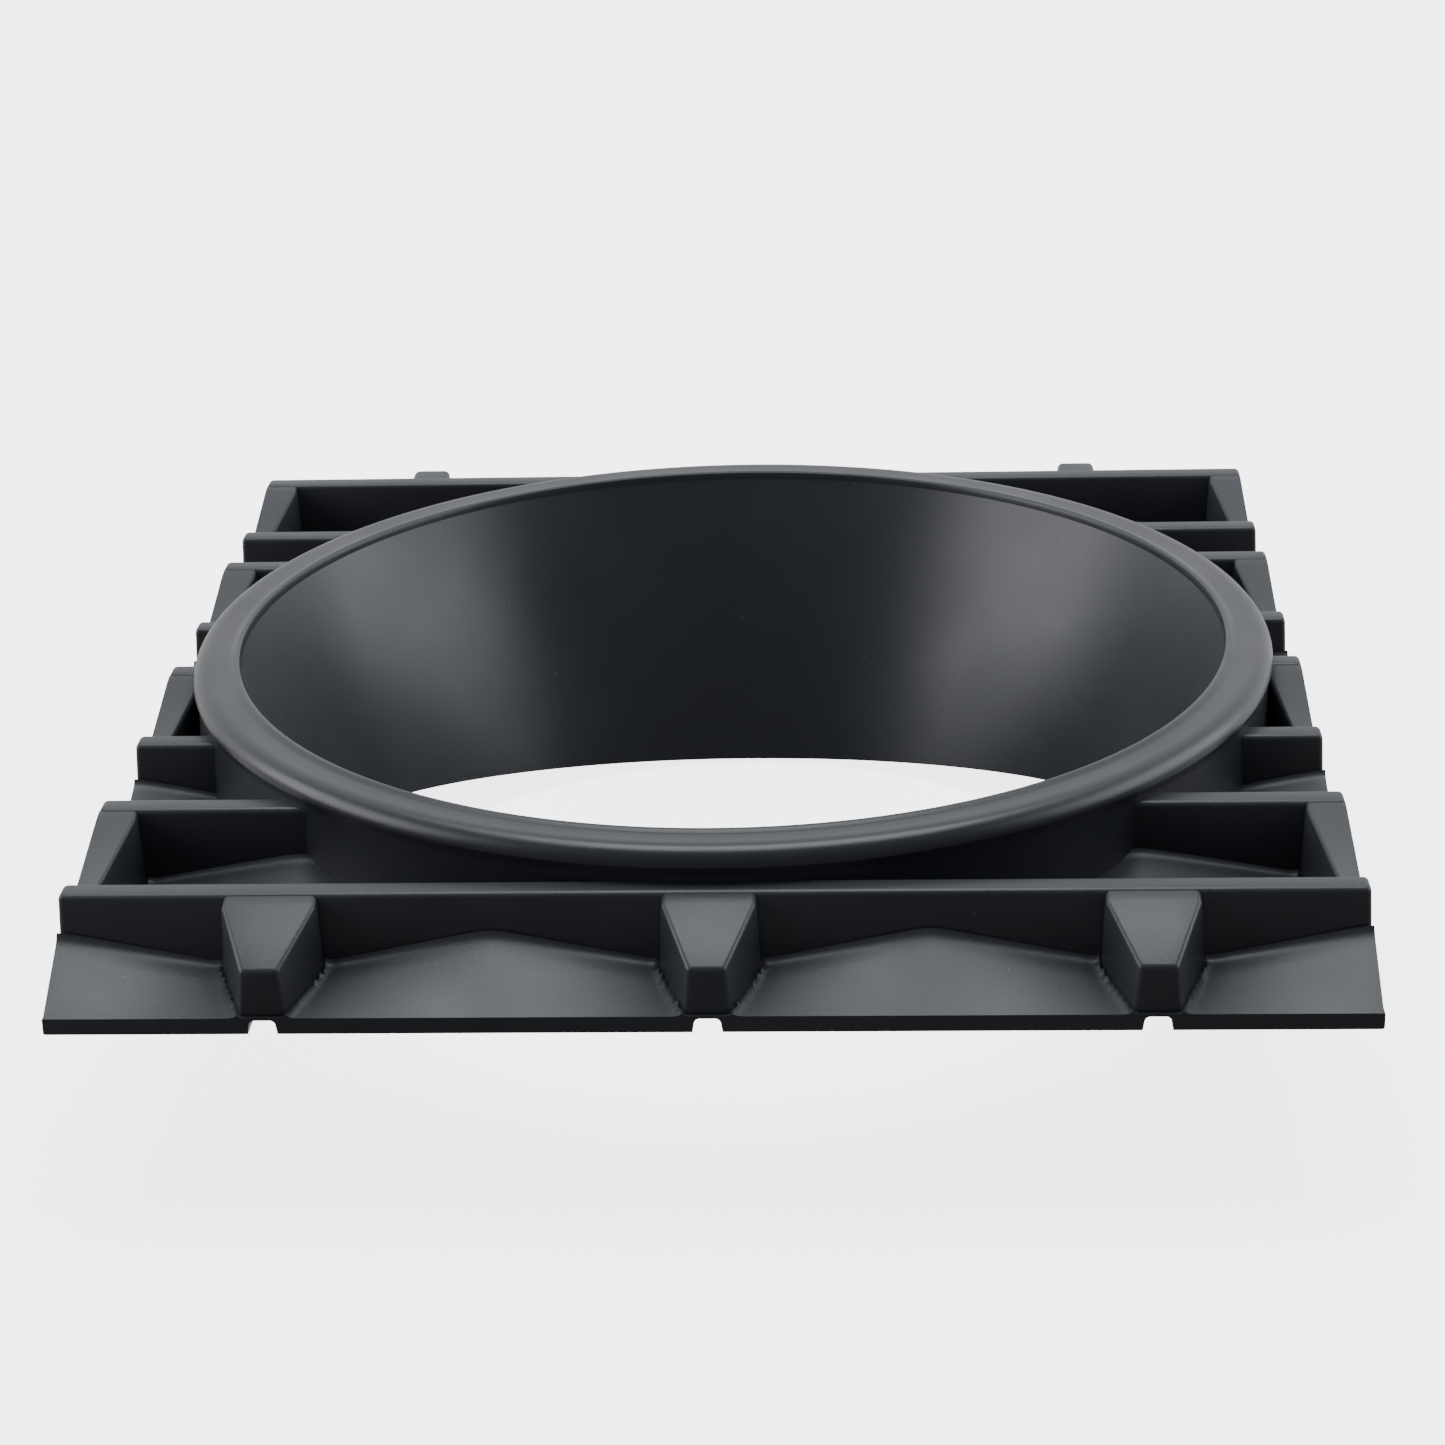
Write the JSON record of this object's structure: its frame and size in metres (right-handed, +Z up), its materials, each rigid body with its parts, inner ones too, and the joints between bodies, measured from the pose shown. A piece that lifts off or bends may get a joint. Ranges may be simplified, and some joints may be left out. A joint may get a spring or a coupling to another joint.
{
  "type": "toilet flange",
  "caption": "Rectangular ribbed flange plate with rows of wedge keys and a wide round collar whose funnel is cut off at a slant.",
  "frame": {"origin": "centre of the footprint, at the level of the funnel's lowest point", "axes": "+Z up along the collar axis, +X to the right along the walls, -Y towards the front edge of the plate"},
  "size_m": [0.18, 0.199, 0.0481],
  "materials": {
    "moulding": "matte, fine moulded grain",
    "collar": "satin, smooth moulded"
  },
  "bodies": {
    "root": {"base_slab": "moulding", "wall_a1": "moulding", "wall_b1": "moulding", "wall_a2": "moulding", "wall_b2": "moulding", "wall_a3": "moulding", "wall_b3": "moulding", "wall_a4": "moulding", "wall_b4": "moulding", "keys_a1": "moulding", "keys_b1": "moulding", "keys_b2": "moulding", "keys_b3": "moulding", "keys_a4": "moulding", "keys_b4": "moulding", "floor_a1": "moulding", "floor_b1": "moulding", "floor_a2": "moulding", "floor_a3": "moulding", "floor_b3": "moulding", "floor_a4": "moulding", "floor_b4": "moulding", "collar_skirt": "collar", "collar_funnel": "collar", "collar_rim": "collar", "back_tabs": "moulding"}
  },
  "joints": []
}
